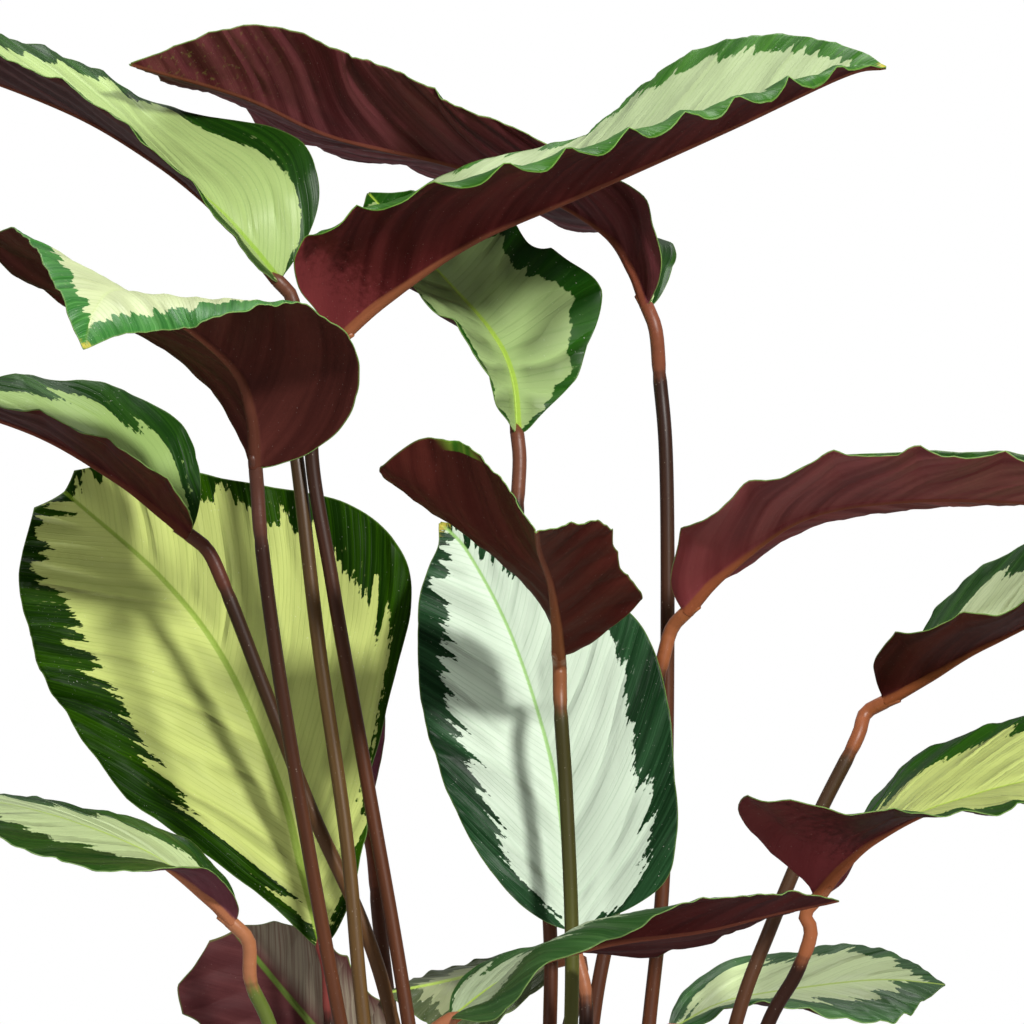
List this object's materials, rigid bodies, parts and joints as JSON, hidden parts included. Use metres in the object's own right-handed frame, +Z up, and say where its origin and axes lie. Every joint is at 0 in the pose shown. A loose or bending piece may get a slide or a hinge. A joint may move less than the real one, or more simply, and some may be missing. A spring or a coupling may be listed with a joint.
{
  "type": "potted argentea calathea",
  "caption": "Prayer plant with silver-green patterned leaves, purple underneath, on slender upright stalks in a round nursery pot.",
  "frame": {"origin": "centre of the pot's underside", "axes": "+Z up the plant, -Y towards the viewer of the front, +X to the right of the front"},
  "size_m": [0.5356, 0.2788, 0.6682],
  "materials": {
    "leaf_blade": "satin leaf, silver and dark green above, maroon below",
    "leaf_stalk": "smooth, brown-purple",
    "pot": "matte charcoal",
    "soil": "rough, crumbly",
    "rhizome": "rough"
  },
  "bodies": {
    "root": {"pot": "pot", "soil": "soil", "rhizome": "rhizome", "stalk_01": "leaf_stalk", "blade_01": "leaf_blade", "stalk_02": "leaf_stalk", "blade_02": "leaf_blade", "stalk_03": "leaf_stalk", "blade_03": "leaf_blade", "stalk_04": "leaf_stalk", "blade_04": "leaf_blade", "stalk_05": "leaf_stalk", "blade_05": "leaf_blade", "stalk_06": "leaf_stalk", "blade_06": "leaf_blade", "stalk_07": "leaf_stalk", "blade_07": "leaf_blade", "stalk_08": "leaf_stalk", "blade_08": "leaf_blade", "stalk_09": "leaf_stalk", "blade_09": "leaf_blade", "stalk_10": "leaf_stalk", "blade_10": "leaf_blade", "stalk_11": "leaf_stalk", "blade_11": "leaf_blade", "stalk_12": "leaf_stalk", "blade_12": "leaf_blade", "stalk_13": "leaf_stalk", "blade_13": "leaf_blade", "stalk_14": "leaf_stalk", "blade_14": "leaf_blade", "stalk_15": "leaf_stalk", "blade_15": "leaf_blade", "stalk_16": "leaf_stalk", "blade_16": "leaf_blade", "stalk_17": "leaf_stalk", "blade_17": "leaf_blade", "stalk_18": "leaf_stalk", "blade_18": "leaf_blade"}
  },
  "joints": []
}
